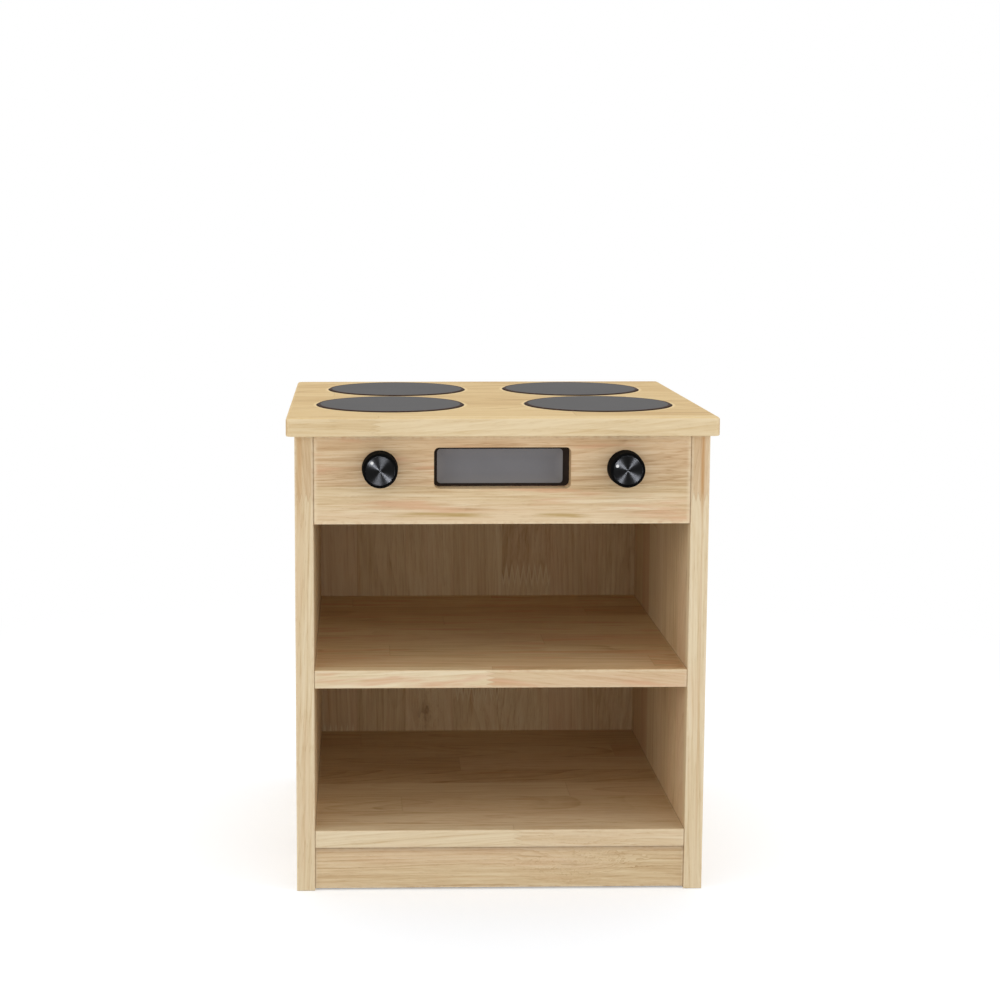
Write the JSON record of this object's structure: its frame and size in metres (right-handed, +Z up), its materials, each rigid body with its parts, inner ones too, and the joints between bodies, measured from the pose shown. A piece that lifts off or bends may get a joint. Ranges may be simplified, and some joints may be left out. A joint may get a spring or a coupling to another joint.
{
  "type": "toy oven",
  "caption": "Free-standing wooden toy oven with flat hob plates, turning knobs, a dummy display window and open storage compartments for pretend cooking.",
  "frame": {"origin": "on the floor, at the middle of the object's box in plan", "axes": "+Z up, front facing -Y, width along X"},
  "size_m": [0.416, 0.3894, 0.471],
  "materials": {
    "pine": "clear satin varnish on pine",
    "beech": "bare",
    "hob_plate": "satin grey disc",
    "display_acrylic": "grey acrylic",
    "black_plastic": "gloss black",
    "dark_metal": "dark anodised, face turned in fine rings",
    "white_mark": "gloss white",
    "zinc_steel": "zinc plated",
    "brass": "turned"
  },
  "bodies": {
    "cabinet": {"left_side": "pine", "right_side": "pine", "countertop": "pine", "fascia": "pine", "middle_shelf": "pine", "bottom_board": "pine", "plinth": "pine", "back_panel": "pine", "left_cleat": "pine", "right_cleat": "pine", "burner_front_left": "hob_plate", "burner_front_right": "hob_plate", "burner_back_left": "hob_plate", "burner_back_right": "hob_plate", "display_panel": "display_acrylic", "display_backing": "black_plastic", "display_screws": "zinc_steel", "left_bush": "brass", "left_bush_washer": "zinc_steel", "left_bush_nut": "brass", "right_bush": "brass", "right_bush_washer": "zinc_steel", "right_bush_nut": "brass", "side_screws": "zinc_steel", "dowels": "beech", "back_screws": "zinc_steel", "cleat_side_screws": "zinc_steel", "cleat_top_screws": "zinc_steel"},
    "left_knob": {"left_knob_body": "black_plastic", "left_knob_inlay": "dark_metal", "left_knob_mark": "white_mark", "left_spindle": "zinc_steel", "left_circlip": "zinc_steel"},
    "right_knob": {"right_knob_body": "black_plastic", "right_knob_inlay": "dark_metal", "right_knob_mark": "white_mark", "right_spindle": "zinc_steel", "right_circlip": "zinc_steel"}
  },
  "joints": [
    {"name": "left_knob_turn", "type": "hinge", "parent": "cabinet", "child": "left_knob", "pos_m": [-0.118, -0.17475, 0.4205], "axis": [0, -1, 0], "continuous": true},
    {"name": "right_knob_turn", "type": "hinge", "parent": "cabinet", "child": "right_knob", "pos_m": [0.118, -0.17475, 0.4205], "axis": [0, -1, 0], "continuous": true}
  ]
}
